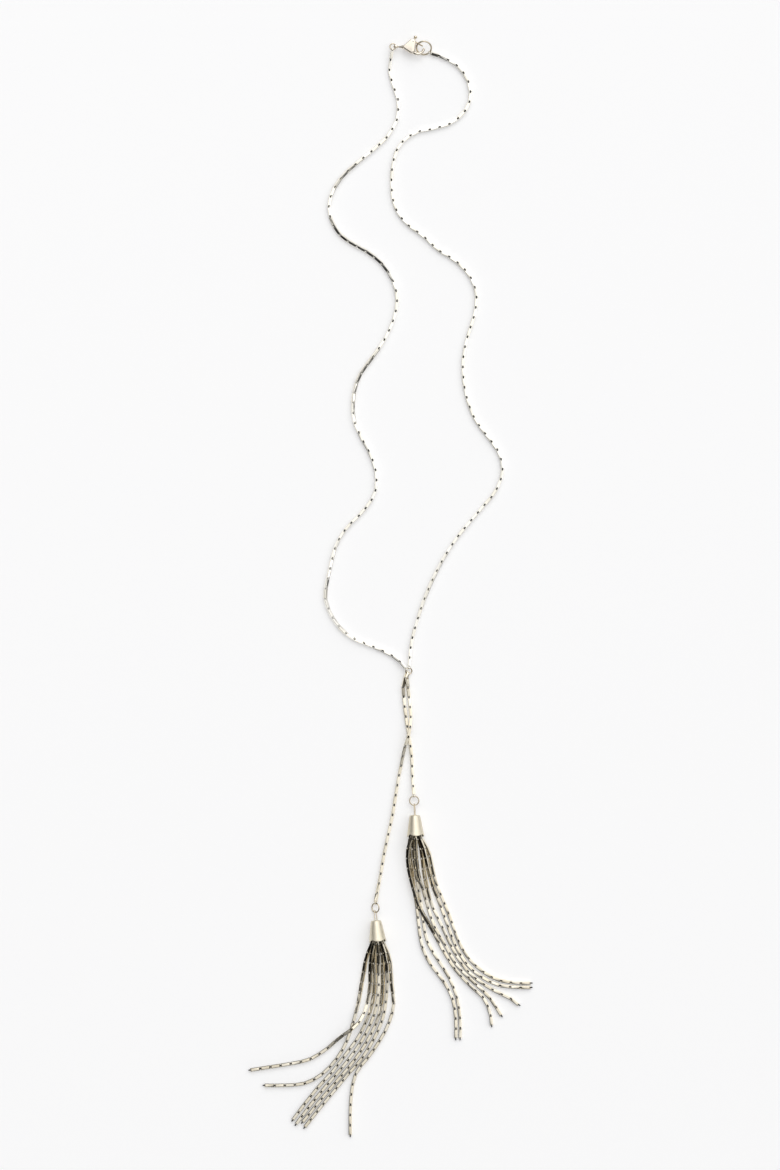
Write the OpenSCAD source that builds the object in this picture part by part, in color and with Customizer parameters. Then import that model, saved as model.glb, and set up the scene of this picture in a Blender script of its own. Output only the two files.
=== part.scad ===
// Long tassel necklace: a chain of square bar links that is joined at a small ring,
// with a folded tie chain below it and a bell cap with seven strands on each end.
// It lies on the plane z = 0. Units are millimetres.

/* [Chain] */
// Width and height of a bar link
link_w = 1.5; // [1.3:0.1:1.5]
// Distance from one joint of the chain to the next
link_pitch = 4.7; // [4.5:0.1:5.5]
// Open gap between two bar links
link_gap = 0.6; // [0.4:0.1:0.8]
// Width of the tongue that joins two bar links
tongue_w = 0.8; // [0.6:0.1:1]

/* [Rings] */
// Wire of the small rings
small_wire_d = 0.6; // [0.5:0.05:0.65]
// Middle radius of the ring that joins the neck chains and the tie chain
centre_ring_r = 1.5; // [1.4:0.05:1.6]
// Middle radius of the ring above each tassel cap
tassel_ring_r = 2.1; // [2:0.05:2.2]
// Middle radius of the small ring between the left chain and the clasp
clasp_ring_r = 1.35; // [1.3:0.05:1.4]
// Middle radius of the large ring that the clasp hooks on
end_ring_r = 3.4; // [3.3:0.05:3.4]
// Wire of the large ring
end_wire_d = 0.8; // [0.7:0.05:0.8]

/* [Tassel caps] */
// Length of a cap along its axis
cap_len = 9.9; // [9.2:0.1:10.2]
// Outer radius of a cap at its rim
cap_rim_r = 4; // [3.9:0.05:4.1]
// Outer radius of a cap below its shoulder
cap_top_r = 2.5; // [2.4:0.05:2.6]
// Wall of a cap
cap_wall = 0.45; // [0.4:0.05:0.5]
// Height of the notches between the petals of the rim
petal_rise = 0.9; // [0.5:0.1:1]
// Wire of the eye above a cap
eye_wire_d = 0.44; // [0.4:0.02:0.5]

/* [Clasp] */
// Thickness of the clasp's body
clasp_thick = 3.2; // [2.8:0.1:3.4]
// Middle radius of the clasp's hook
hook_r = 2.75; // [2.7:0.05:2.8]
// Thickness of the hook
hook_d = 1.2; // [1:0.1:1.2]
// Thickness of the lever's arm
lever_thick = 0.7; // [0.6:0.1:0.8]
// Radius of the lever's pin
pin_r = 0.35; // [0.3:0.05:0.4]

/* [Hidden] */

gold = [0.86, 0.80, 0.66];
pale_gold = [0.90, 0.86, 0.76];
dark_gold = [0.62, 0.56, 0.44];
round_steps = 48;

// How far a tongue reaches into the bar on each side of a joint
tongue_bite = 0.3;
// Length of the tongue that stands out of the free end of a strand
free_tongue = 0.7;
// Steps of the smooth curve between two points of a route
smooth_steps = 8;
// The eye at the end of a chain: a round hole with a thin wall
chain_eye_w = 0.7;
chain_eye_wall = 0.22;
chain_eye_reach = 0.5;
small_eye_r = small_wire_d / 2 + 0.15;
large_eye_r = end_wire_d / 2 + 0.26;

// Places of the rings, the caps and the clasp: x, y and height
centre_ring_at = [8.4, -39.6, 1.6];
centre_ring_lean = 25;
right_ring_at = [10.9, -99.1, 1.6];
left_ring_at = [-6.9, -148.3, 1.8];
left_ring_tilt = 40;
clasp_at = [2.45, 247.3, 2.5];
clasp_turn = -3;
clasp_ring_z = 1.9;
end_ring_tilt = 38;
end_ring_x = 12.9;

// A cap lies on its side, so its axis falls towards its top by the slope of its wall
cap_fall = 9.3;
cap_rim_z = 3.96;
right_cap_at = [11.55, -115.5, cap_rim_z];
right_cap_turn = 92.2;
right_eye_len = 14.4;
right_eye_roll = 15;
left_cap_at = [-5.83, -163.8, cap_rim_z];
left_cap_turn = 95;
left_eye_len = 13.6;
left_eye_roll = -40;

// The folded end of the tie chain
fold_at = [7.7, -40.81, 1.6];
fold_turn = -112;
fold_roll = -25;
fold_r = 0.95;
fold_strip = 0.7;
fold_leg = 1.7;

// The clasp in its own frame: x runs from the bail to the nose, y to the lever's side
pivot = [7.9, 2.7];
lever_tip = [12.3, 0.88];
knob = [8.8, 4.7];
hook_mid = [10.2, -0.1];
bail_drop = 0.6;

// Routes of the chains: x, y, lift above the surface and roll of the bars, where they aren't 0
neck_left_route = [
    [0.9, 246, 1.15], [0, 241, 0.5], [-0.5, 236.5], [0.5, 232], [2, 227.5], [3.5, 223], [3.5, 218.5],
    [3, 214], [1, 210], [-1.5, 206], [-8, 200], [-15.5, 194, 0, -15], [-22.5, 187.5, 0, -25],
    [-27.5, 179, 0, -20], [-28, 170.5, 0, 5], [-23.5, 161.5, 0, 38], [-16.5, 156.5, 0, 40],
    [-11, 153.5, 0, 40], [-3.5, 147.5, 0, 25], [1.5, 139, 0.08], [3, 130], [1, 121], [-3, 112.5],
    [-8.5, 104.5, 0, -25], [-14.5, 96, 0, -34], [-17, 87, 0, -34], [-17, 76.5, 0, -25], [-13.5, 68],
    [-9, 59.5], [-6.5, 50.5], [-7.5, 41.5], [-13, 33.5], [-20, 26.5], [-25, 18.5, 0, -15],
    [-27.5, 9.5, 0, -25], [-29.5, 0, 0, -33], [-30, -6.5, 0, -34], [-27, -14.5, 0, -34],
    [-22, -21, 0, -34], [-16.5, -25, 0, -25], [-7.5, -28.5], [0, -32], [4, -34.8, 0.55],
    [7.38, -38.82, 1.48]];
neck_right_route = [
    [17.8, 244.7, 0.13, 31], [24.5, 242.5, 0, 10], [32, 237.5], [36.5, 229], [35.5, 220], [29, 213],
    [20.5, 210], [11.5, 208], [4, 202], [1, 193], [0.5, 183.5], [2, 174], [7, 166.5], [15, 160.5],
    [22, 154], [30, 149], [36.5, 142], [39.5, 133.5], [38.5, 124], [35.5, 114.5], [33.5, 105],
    [33.5, 95.5], [35, 86.5], [38.5, 77], [44, 69], [49.5, 61.5], [51.5, 52.5], [48.5, 43.5],
    [42.5, 36], [36, 28.5], [30, 21], [24.5, 12.5, 0, -8], [20, 4, 0, -14], [15.5, -6.5, 0, -14],
    [12.5, -15.5, 0, -8], [10, -24.5], [9, -31.5, 0.3], [8.5, -38.1, 1.13]];
tie_right_route = [
    [6.69, -42.24, 0, -25], [5.75, -46.8, 0.07, -10], [6, -50.5], [6.4, -55], [7, -60], [7.6, -64.5],
    [8.3, -69], [9.2, -74], [9.8, -80], [10.1, -88.5, 0.05], [10.5, -93.5, 0.4], [10.8, -97, 0.85]];
tie_left_route = [
    [7.44, -42.54, 1.71, -25], [8, -47, 0.95, -10], [8.4, -50.5, 0.6], [8.9, -55, 0.6], [9.3, -60, 1.2],
    [9.2, -64, 1.8], [8.4, -68.8, 1.8], [7, -73, 1.5], [5.8, -78, 0.8], [5, -82.5, 0.2], [4, -87],
    [2.5, -96], [1, -105.5], [-1, -114.5], [-3, -124], [-4.5, -133], [-6, -141, 0.2, 15],
    [-6.9, -146.2, 0.74, 40]];
strand_right_routes = [
    [[9.75, -112, 2.6], [9.2, -115.5, 2.8, 30], [8.6, -121, 1.5, 38], [9, -126.5, 0.3, 42],
     [9.8, -132, 0, 40], [10.5, -138, 0, 20], [12, -147, 0.06], [13, -156.5], [14.5, -166],
     [18.5, -174.5], [24, -181.5], [28.5, -190], [30, -199.5], [30, -208.5]],
    [[10.65, -112, 0.95], [10.45, -115.5, 1.1, 22], [10.6, -121, 0.3, 22], [11, -126.5, 0, 20],
     [12.5, -138], [14, -146], [15, -154.5], [17, -164], [22, -172.5], [27, -180.5], [30.5, -189.5],
     [32, -199.5], [32, -208.5]],
    [[10.55, -112, 4.3], [9.85, -115.5, 4.5, 28], [8, -121.5, 3.6, 30], [8.2, -129, 2.1, 35],
     [9.5, -135.5, 1.9, 20], [11.5, -142.5, 1.8, 22], [13.5, -148.5, 1.8, 25], [16.4, -153.5, 1.7, 25],
     [18.7, -157.5, 0.3, 20], [20.8, -161.5, 0.05, 8], [24.5, -168.5, 0, -8], [30, -177], [37, -184.5],
     [43, -190], [46, -197.5], [46.5, -202.5]],
    [[11.45, -112, 2.6], [11.5, -115.5, 2.9, 25], [11.6, -121.5, 2.3, 30], [12, -127.5, 1.8, 35],
     [13, -134, 1.8, 20], [15, -140, 1.2], [17.3, -148.5], [20.5, -157.5], [25.5, -166], [30, -174],
     [36, -180.5], [45, -189], [51, -198]],
    [[12.25, -112, 0.95], [12.75, -115.5, 1.15, 22], [14.2, -121.5, 0.3, 35], [15, -128, 0, 42],
     [16, -135.5, 0, 40], [19, -147, 0.1], [23.3, -156], [27.5, -165], [32.3, -173.5], [38.5, -180.3],
     [47, -186], [56, -190.5], [59, -193]],
    [[13.1, -112, 2.6], [13.85, -115.5, 2.8, 28], [17.6, -122.5, 1.2, 30], [19.2, -129.5, 0.2, 30],
     [21, -137, 0.06], [24.5, -145.5], [28, -154.5], [31, -163], [35.5, -171], [42, -177.3],
     [50, -181.7], [60, -183], [64.5, -183]],
    [[12.3, -112, 4.3], [13.15, -115.5, 4.5, 28], [15.6, -122, 3, 30], [17, -129, 1.2, 38],
     [19, -137, 0, 35], [22.5, -146, 0.15], [25.8, -155], [29.2, -164], [34, -172.8], [41, -179.6],
     [50, -184], [60, -185], [64.5, -185]]];
strand_left_routes = [
    [[-7.1, -160.3, 4.3], [-7.5, -163.5, 4.5, 28], [-8.8, -170.5, 2.1, 30], [-9.3, -177, 0.2, 30],
     [-9.3, -184, 0, 30], [-10.9, -193, 0.1], [-13.5, -199.5, 1.2], [-17.2, -203.5, 2],
     [-20, -205.5, 1.8], [-24, -208.5, 0.7], [-29, -213], [-37, -218], [-45.5, -220], [-55, -221.5],
     [-64.5, -223]],
    [[-7.7, -160.3, 2.6], [-8.1, -163.5, 2.75, 28], [-11, -171, 0.6, 35], [-11.9, -176, 0, 42],
     [-13.3, -183.5, 0, 40], [-14.5, -191, 0, 25], [-17, -200.5, 0.07], [-20, -209.5], [-24.5, -217.5],
     [-31, -224.5], [-39, -229], [-48.5, -230], [-58, -230]],
    [[-6.9, -160.3, 0.95], [-7, -163.5, 1.1, 20], [-7.4, -170, 0, 35], [-7.3, -177, 0, 42],
     [-7.3, -184.5, 0, 40], [-9, -195, 0, 20], [-14, -206.5], [-20, -215], [-26.5, -223.5],
     [-32.5, -230], [-39, -238], [-45, -246]],
    [[-6.05, -160.3, 2.6], [-5.95, -163.5, 2.85, 22], [-5.6, -171, 0.9, 15], [-5.5, -177.5],
     [-5.4, -184.5], [-7, -196], [-12, -207.5], [-18, -216.5], [-24.4, -224.4], [-30.6, -231.5],
     [-37.2, -239.6], [-43.5, -248]],
    [[-5.3, -160.3, 0.95], [-4.7, -163.5, 1.1, 22], [-3.6, -170, 0, 35], [-3.6, -177, 0, 42],
     [-3.5, -184.5, 0, 40], [-5, -197, 0, 15], [-9.5, -207.5], [-15.5, -217], [-22, -225],
     [-28.6, -232.5], [-35, -240.3], [-40.5, -247]],
    [[-5.4, -160.3, 4.3], [-4.4, -163.5, 4.5, 28], [-2.2, -171, 2.4, 25], [-1.7, -178, 0.3],
     [-1.5, -184.5], [-3, -197], [-6.5, -206.5], [-13, -217.5], [-19, -224.3], [-26, -232.7],
     [-32.3, -240.3], [-39.5, -249.3]],
    [[-4.4, -160.3, 2.6], [-3.6, -163.5, 2.8, 28], [-0.6, -170.5, 0.6, 35], [0.1, -175, 0, 40],
     [0.6, -183.5, 0, 35], [1.5, -193, 0.1], [-1, -202], [-5.3, -210], [-10.6, -217.6], [-13.8, -221.3],
     [-16.5, -226], [-18, -234], [-18.5, -243.5], [-18.5, -253]]];

// Smooth curve through a route's points, with the height of the bars' centre and their roll
function or_zero(v) = is_undef(v) ? 0 : v;
function lie_height(roll) = link_w / 2 * (abs(cos(roll)) + abs(sin(roll)));
function centre_row(p) = [p[0], p[1], or_zero(p[2]) + lie_height(or_zero(p[3])), or_zero(p[3])];
function above_floor(p) = [p[0], p[1], max(p[2], lie_height(p[3])), p[3]];
function curve(a, b, c, d, t) =
    b + t / 2 * (c - a + t * (2 * a - 5 * b + 4 * c - d + t * (3 * (b - c) + d - a)));
function smooth(route) =
    let (p = [for (r = route) centre_row(r)], last = len(p) - 1)
    [for (i = [0 : last - 1]) for (k = [0 : smooth_steps - 1])
        above_floor(curve(p[max(i - 1, 0)], p[i], p[i + 1], p[min(i + 2, last)], k / smooth_steps)),
     p[last]];

// The joints of a chain, one pitch apart along its curve
function xyz(p) = [p[0], p[1], p[2]];
function step_len(p, i) = i < len(p) - 1 ? norm(xyz(p[i + 1]) - xyz(p[i])) : 0;
function lengths(p) = [for (i = 0, s = 0; i < len(p); s = s + step_len(p, i), i = i + 1) s];
function joints(route) =
    let (p = smooth(route), s = lengths(p), total = s[len(s) - 1], count = round(total / link_pitch),
         tables = [for (k = [0 : 3]) [for (i = [0 : len(p) - 1]) [s[i], p[i][k]]]])
    [for (i = [0 : count]) [for (t = tables) lookup(total * i / count, t)]];

// Lays its children along x from one joint to the next
module between(a, b) {
    d = xyz(b) - xyz(a);
    translate(xyz(a))
        rotate([0, -asin(d.z / norm(d)), atan2(d.y, d.x)])
            rotate([(a[3] + b[3]) / 2, 0, 0])
                children();
}

module bar(from, to) {
    translate([from, -link_w / 2, -link_w / 2]) cube([to - from, link_w, link_w]);
}

module tongue(from, to) {
    translate([from, -tongue_w / 2, -tongue_w / 2]) cube([to - from, tongue_w, tongue_w]);
}

module chain_eye(hole_r) {
    rotate([90, 0, 0]) difference() {
        cylinder(r = hole_r + chain_eye_wall, h = chain_eye_w, center = true, $fn = round_steps);
        cylinder(r = hole_r, h = chain_eye_w + 1, center = true, $fn = round_steps);
    }
}

// A chain along a route; an end with an eye has its joint at the middle of the eye's hole
module chain(route, start_eye = 0, end_eye = 0, free_end = false) {
    j = joints(route);
    last = len(j) - 1;
    half_gap = link_gap / 2;
    for (i = [0 : last - 1]) {
        span = norm(xyz(j[i + 1]) - xyz(j[i]));
        from = i == 0 && start_eye > 0 ? start_eye + 0.05 : half_gap;
        to = i == last - 1 && end_eye > 0 ? span - end_eye - 0.05 : span - half_gap;
        between(j[i], j[i + 1]) {
            bar(from, to);
            if (i > 0) tongue(-half_gap - tongue_bite, half_gap + tongue_bite);
            if (i == 0 && start_eye > 0) chain_eye(start_eye);
            if (i == last - 1 && end_eye > 0) translate([span, 0, 0]) chain_eye(end_eye);
            if (i == last - 1 && free_end) tongue(to - tongue_bite, to + free_tongue);
        }
    }
}

module ring(mid_r, wire_d) {
    rotate_extrude($fn = round_steps) translate([mid_r, 0]) circle(d = wire_d, $fn = round_steps);
}

// A strip bent over a ring, with its two legs one above the other
module tie_fold() {
    translate(fold_at) rotate([0, 0, fold_turn]) rotate([90 + fold_roll, 0, 0]) {
        translate([0, 0, -link_w / 2]) rotate([0, 0, 90]) rotate_extrude(angle = 180, $fn = round_steps)
            translate([fold_r - fold_strip / 2, 0]) square([fold_strip, link_w]);
        for (side = [-1, 1])
            translate([-0.05, side * fold_r - fold_strip / 2, -link_w / 2])
                cube([fold_leg, fold_strip, link_w]);
    }
}

module tie_chain() {
    color(pale_gold) {
        tie_fold();
        tongue_start(tie_right_route);
        tongue_start(tie_left_route);
        chain(tie_right_route, end_eye = small_eye_r);
        chain(tie_left_route, end_eye = small_eye_r);
    }
}

// Joins the first bar of a route to what it hangs on
module tongue_start(route) {
    j = joints(route);
    between(j[0], j[1]) tongue(-tongue_bite, link_gap / 2 + tongue_bite);
}

// Places its children in a cap's frame: the rim at the origin and the axis along z
module in_cap(at, turn) {
    translate(at) rotate([0, 0, turn]) rotate([0, 90 + cap_fall, 0]) children();
}

module petal_notch() {
    half = cap_rim_r * sin(45);
    arc_r = (half * half + petal_rise * petal_rise) / (2 * petal_rise);
    rotate([90, 0, 90]) translate([0, 0, cap_rim_r / 2]) linear_extrude(height = cap_rim_r) difference() {
        translate([-half, -1]) square([2 * half, 1 + petal_rise]);
        for (side = [-1, 1])
            translate([side * half, arc_r]) circle(r = arc_r, $fn = 2 * round_steps);
    }
}

module cap(at, turn) {
    shoulder = 0.6;
    hole_r = 1.25;
    color(gold) in_cap(at, turn) difference() {
        rotate_extrude($fn = 2 * round_steps) polygon([
            [cap_rim_r, 0], [cap_top_r, cap_len - shoulder], [cap_top_r - 0.45, cap_len], [hole_r, cap_len],
            [hole_r, cap_len - cap_wall], [cap_top_r - 0.65, cap_len - cap_wall],
            [cap_top_r - cap_wall, cap_len - shoulder - 0.2], [cap_rim_r - cap_wall, 0]]);
        for (k = [0 : 3]) rotate([0, 0, 50 + 90 * k]) petal_notch();
    }
}

// A wire loop that holds the ring; its two legs go into the cap's top
module cap_eye(at, turn, len, roll) {
    loop_r = 0.76;
    color(dark_gold) in_cap(at, turn) rotate([0, 0, roll]) {
        translate([0, 0, len]) rotate([90, 0, 0]) rotate_extrude(angle = 180, $fn = round_steps)
            translate([loop_r, 0]) circle(d = eye_wire_d, $fn = round_steps);
        for (side = [-1, 1])
            translate([side * loop_r, 0, cap_len - 1.2])
                cylinder(d = eye_wire_d, h = len - cap_len + 1.2, $fn = round_steps);
    }
}

// Places its children in the clasp's frame
module in_clasp() {
    translate(clasp_at) rotate([0, 0, clasp_turn]) children();
}

module slab(thick) {
    translate([0, 0, -thick / 2]) linear_extrude(height = thick) children();
}

module clasp_outline() {
    translate([4.2, -0.1]) circle(r = 1, $fn = round_steps);
    translate([7.6, 2.4]) circle(r = 1.5, $fn = round_steps);
    translate([7.4, -1.5]) circle(r = 1.4, $fn = round_steps);
    polygon([[3.6, 0.7], [6.65, 3.56], [9.09, 2.2], [8.8, -1.4], [6.8, -2.76], [3.8, -1.01]]);
}

module clasp_body() {
    bail_r = 1.25;
    bail_hole_r = 0.65;
    slot = 1.5;
    nose_angle = -8;
    color(gold) in_clasp() {
        difference() {
            slab(clasp_thick) clasp_outline();
            slab(slot) {
                translate(pivot) circle(r = 1.3, $fn = round_steps);
                translate([pivot.x - 1.3, pivot.y]) square([4, 4]);
                translate([pivot.x, pivot.y - 2.2]) square([4, 5]);
            }
        }
        translate([pivot.x, pivot.y, -clasp_thick / 2 + 0.1])
            cylinder(r = pin_r, h = clasp_thick - 0.2, $fn = round_steps);
        translate([hook_mid.x, hook_mid.y, 0]) {
            rotate([0, 0, -140]) rotate_extrude(angle = 140 + nose_angle, $fn = 2 * round_steps)
                translate([hook_r, 0]) circle(d = hook_d, $fn = round_steps);
            rotate([0, 0, nose_angle]) translate([hook_r, 0, 0]) sphere(d = hook_d, $fn = round_steps);
        }
        translate([0, 0, -bail_drop]) difference() {
            union() {
                rotate([90, 0, 0]) cylinder(r = bail_r, h = 1.2, center = true, $fn = round_steps);
                translate([0.9, -0.6, -0.8]) cube([2.9, 1.2, 1.6]);
            }
            rotate([90, 0, 0]) cylinder(r = bail_hole_r, h = 3, center = true, $fn = round_steps);
        }
    }
}

// A bar with round ends between two points of the clasp's plane
module round_bar(from, to, width, thick) {
    d = to - from;
    slab(thick) {
        translate(from) rotate([0, 0, atan2(d.y, d.x)])
            translate([0, -width / 2]) square([norm(d), width]);
        translate(to) circle(d = width, $fn = round_steps);
    }
}

module clasp_lever() {
    hub_r = 1;
    bore_r = pin_r + 0.07;
    color(dark_gold) in_clasp() difference() {
        union() {
            slab(1.3) translate(pivot) circle(r = hub_r, $fn = round_steps);
            round_bar(pivot, lever_tip, 0.8, lever_thick);
            round_bar(pivot, knob, 0.9, 1);
            slab(1.3) translate(knob) circle(r = 0.75, $fn = round_steps);
        }
        slab(3) translate(pivot) circle(r = bore_r, $fn = round_steps);
    }
}

module end_ring() {
    color(pale_gold) in_clasp() translate([end_ring_x, 0, 0]) rotate([end_ring_tilt, 0, 0])
        ring(end_ring_r, end_wire_d);
}

module clasp_ring() {
    color(dark_gold) translate([clasp_at.x - clasp_ring_r, clasp_at.y, clasp_ring_z])
        ring(clasp_ring_r, small_wire_d);
}

module centre_ring() {
    color(dark_gold) translate(centre_ring_at) rotate(-centre_ring_lean, [cos(120), -sin(120), 0])
        ring(centre_ring_r, small_wire_d);
}

module tassel_ring_left() {
    color(dark_gold) translate(left_ring_at) rotate([0, -left_ring_tilt, 0])
        ring(tassel_ring_r, small_wire_d);
}

module tassel_ring_right() {
    color(dark_gold) translate(right_ring_at) ring(tassel_ring_r, small_wire_d);
}

module neck_chain_left() {
    color(gold) chain(neck_left_route, start_eye = small_eye_r, end_eye = small_eye_r);
}

module neck_chain_right() {
    color(gold) chain(neck_right_route, start_eye = large_eye_r, end_eye = small_eye_r);
}

module cap_eye_left() { cap_eye(left_cap_at, left_cap_turn, left_eye_len, left_eye_roll); }
module cap_eye_right() { cap_eye(right_cap_at, right_cap_turn, right_eye_len, right_eye_roll); }
module cap_left() { cap(left_cap_at, left_cap_turn); }
module cap_right() { cap(right_cap_at, right_cap_turn); }

module strand_left(k) { color(pale_gold) chain(strand_left_routes[k - 1], free_end = true); }
module strand_right(k) { color(pale_gold) chain(strand_right_routes[k - 1], free_end = true); }

neck_chain_left();
neck_chain_right();
clasp_ring();
clasp_body();
clasp_lever();
end_ring();
centre_ring();
tie_chain();
tassel_ring_left();
tassel_ring_right();
cap_eye_left();
cap_eye_right();
cap_left();
cap_right();
for (k = [1 : 7]) strand_left(k);
for (k = [1 : 7]) strand_right(k);
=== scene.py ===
# %% [markdown]
# A long chain necklace lies on a pale table. Two neck chains of square links run from the clasp at the
# top to a small ring, and a folded tie chain below the ring ends in two tassels.
# This notebook builds its looks over the measured model of it. All shapes are made in the model's own
# place and size, so nothing has to be fitted afterwards. The work goes from the places of the links, to
# one link, to the chains, and then to the clasp, the rings and the tassel caps.

# %% Tools and the measured model
import math

import bmesh
import bpy
from mathutils import Matrix, Vector


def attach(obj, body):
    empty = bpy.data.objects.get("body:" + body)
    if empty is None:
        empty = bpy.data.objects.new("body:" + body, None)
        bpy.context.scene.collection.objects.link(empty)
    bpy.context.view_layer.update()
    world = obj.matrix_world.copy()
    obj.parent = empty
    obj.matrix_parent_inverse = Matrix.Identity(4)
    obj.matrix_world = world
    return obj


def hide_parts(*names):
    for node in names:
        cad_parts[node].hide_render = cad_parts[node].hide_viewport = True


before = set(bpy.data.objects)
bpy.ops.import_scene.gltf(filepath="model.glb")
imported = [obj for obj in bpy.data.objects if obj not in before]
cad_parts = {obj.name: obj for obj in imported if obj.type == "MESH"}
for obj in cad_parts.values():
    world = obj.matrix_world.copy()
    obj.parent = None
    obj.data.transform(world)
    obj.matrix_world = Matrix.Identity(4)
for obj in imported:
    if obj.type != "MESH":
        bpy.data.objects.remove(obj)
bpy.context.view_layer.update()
scene = bpy.context.scene
MM = 0.001
print("pieces of the measured model:", len(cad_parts))

# %% [markdown]
# Each chain follows a route: a list of points in millimetres that were read off the picture. A point
# has x and y, then the lift above the table and the roll of the links about their own length, where
# those aren't zero. The lift is what lets one chain pass over another. A chain could also be let fall
# in a rigid body simulation, but then it wouldn't lie where the picture has it.
# The two neck chains start at the clasp. Each ends on the small ring.

# %% Routes of the neck chains
NECK_LEFT = [
    (0.9, 246, 1.15), (0, 241, 0.5), (-0.5, 236.5), (0.5, 232), (2, 227.5), (3.5, 223), (3.5, 218.5),
    (3, 214), (1, 210), (-1.5, 206), (-8, 200), (-15.5, 194, 0, -15), (-22.5, 187.5, 0, -25),
    (-27.5, 179, 0, -20), (-28, 170.5, 0, 5), (-23.5, 161.5, 0, 38), (-16.5, 156.5, 0, 40),
    (-11, 153.5, 0, 40), (-3.5, 147.5, 0, 25), (1.5, 139, 0.08), (3, 130), (1, 121), (-3, 112.5),
    (-8.5, 104.5, 0, -25), (-14.5, 96, 0, -34), (-17, 87, 0, -34), (-17, 76.5, 0, -25), (-13.5, 68),
    (-9, 59.5), (-6.5, 50.5), (-7.5, 41.5), (-13, 33.5), (-20, 26.5), (-25, 18.5, 0, -15),
    (-27.5, 9.5, 0, -25), (-29.5, 0, 0, -33), (-30, -6.5, 0, -34), (-27, -14.5, 0, -34),
    (-22, -21, 0, -34), (-16.5, -25, 0, -25), (-7.5, -28.5), (0, -32), (4, -34.8, 0.55),
    (7.38, -38.82, 1.48)]
NECK_RIGHT = [
    (17.8, 244.7, 0.13, 31), (24.5, 242.5, 0, 10), (32, 237.5), (36.5, 229), (35.5, 220), (29, 213),
    (20.5, 210), (11.5, 208), (4, 202), (1, 193), (0.5, 183.5), (2, 174), (7, 166.5), (15, 160.5),
    (22, 154), (30, 149), (36.5, 142), (39.5, 133.5), (38.5, 124), (35.5, 114.5), (33.5, 105),
    (33.5, 95.5), (35, 86.5), (38.5, 77), (44, 69), (49.5, 61.5), (51.5, 52.5), (48.5, 43.5),
    (42.5, 36), (36, 28.5), (30, 21), (24.5, 12.5, 0, -8), (20, 4, 0, -14), (15.5, -6.5, 0, -14),
    (12.5, -15.5, 0, -8), (10, -24.5), (9, -31.5, 0.3), (8.5, -38.1, 1.13)]

# %% [markdown]
# The tie chain is one chain that is folded in two over the small ring. Each half gets a route of its
# own, because the halves cross each other below the ring and end at different tassels. Where they
# cross, the left half is lifted by a little more than one link's width.

# %% Routes of the tie chain
TIE_RIGHT = [
    (6.69, -42.24, 0, -25), (5.75, -46.8, 0.07, -10), (6, -50.5), (6.4, -55), (7, -60), (7.6, -64.5),
    (8.3, -69), (9.2, -74), (9.8, -80), (10.1, -88.5, 0.05), (10.5, -93.5, 0.4), (10.8, -97, 0.85)]
TIE_LEFT = [
    (7.44, -42.54, 1.71, -25), (8, -47, 0.95, -10), (8.4, -50.5, 0.6), (8.9, -55, 0.6), (9.3, -60, 1.2),
    (9.2, -64, 1.8), (8.4, -68.8, 1.8), (7, -73, 1.5), (5.8, -78, 0.8), (5, -82.5, 0.2), (4, -87),
    (2.5, -96), (1, -105.5), (-1, -114.5), (-3, -124), (-4.5, -133), (-6, -141, 0.2, 15),
    (-6.9, -146.2, 0.74, 40)]

# %% [markdown]
# Each tassel has seven strands, and each strand starts inside its cap, spread over the cap's mouth.
# From there it comes down to the table, rolled a little, and straightens out flat. The routes are
# chosen one by one, as a hair stylist would lay locks, because strands that followed one rule would
# look combed.

# %% Routes of the tassel strands
STRANDS_RIGHT = [
    [(9.75, -112, 2.6), (9.2, -115.5, 2.8, 30), (8.6, -121, 1.5, 38), (9, -126.5, 0.3, 42),
     (9.8, -132, 0, 40), (10.5, -138, 0, 20), (12, -147, 0.06), (13, -156.5), (14.5, -166),
     (18.5, -174.5), (24, -181.5), (28.5, -190), (30, -199.5), (30, -208.5)],
    [(10.65, -112, 0.95), (10.45, -115.5, 1.1, 22), (10.6, -121, 0.3, 22), (11, -126.5, 0, 20),
     (12.5, -138), (14, -146), (15, -154.5), (17, -164), (22, -172.5), (27, -180.5), (30.5, -189.5),
     (32, -199.5), (32, -208.5)],
    [(10.55, -112, 4.3), (9.85, -115.5, 4.5, 28), (8, -121.5, 3.6, 30), (8.2, -129, 2.1, 35),
     (9.5, -135.5, 1.9, 20), (11.5, -142.5, 1.8, 22), (13.5, -148.5, 1.8, 25), (16.4, -153.5, 1.7, 25),
     (18.7, -157.5, 0.3, 20), (20.8, -161.5, 0.05, 8), (24.5, -168.5, 0, -8), (30, -177), (37, -184.5),
     (43, -190), (46, -197.5), (46.5, -202.5)],
    [(11.45, -112, 2.6), (11.5, -115.5, 2.9, 25), (11.6, -121.5, 2.3, 30), (12, -127.5, 1.8, 35),
     (13, -134, 1.8, 20), (15, -140, 1.2), (17.3, -148.5), (20.5, -157.5), (25.5, -166), (30, -174),
     (36, -180.5), (45, -189), (51, -198)],
    [(12.25, -112, 0.95), (12.75, -115.5, 1.15, 22), (14.2, -121.5, 0.3, 35), (15, -128, 0, 42),
     (16, -135.5, 0, 40), (19, -147, 0.1), (23.3, -156), (27.5, -165), (32.3, -173.5), (38.5, -180.3),
     (47, -186), (56, -190.5), (59, -193)],
    [(13.1, -112, 2.6), (13.85, -115.5, 2.8, 28), (17.6, -122.5, 1.2, 30), (19.2, -129.5, 0.2, 30),
     (21, -137, 0.06), (24.5, -145.5), (28, -154.5), (31, -163), (35.5, -171), (42, -177.3),
     (50, -181.7), (60, -183), (64.5, -183)],
    [(12.3, -112, 4.3), (13.15, -115.5, 4.5, 28), (15.6, -122, 3, 30), (17, -129, 1.2, 38),
     (19, -137, 0, 35), (22.5, -146, 0.15), (25.8, -155), (29.2, -164), (34, -172.8), (41, -179.6),
     (50, -184), (60, -185), (64.5, -185)]]
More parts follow.
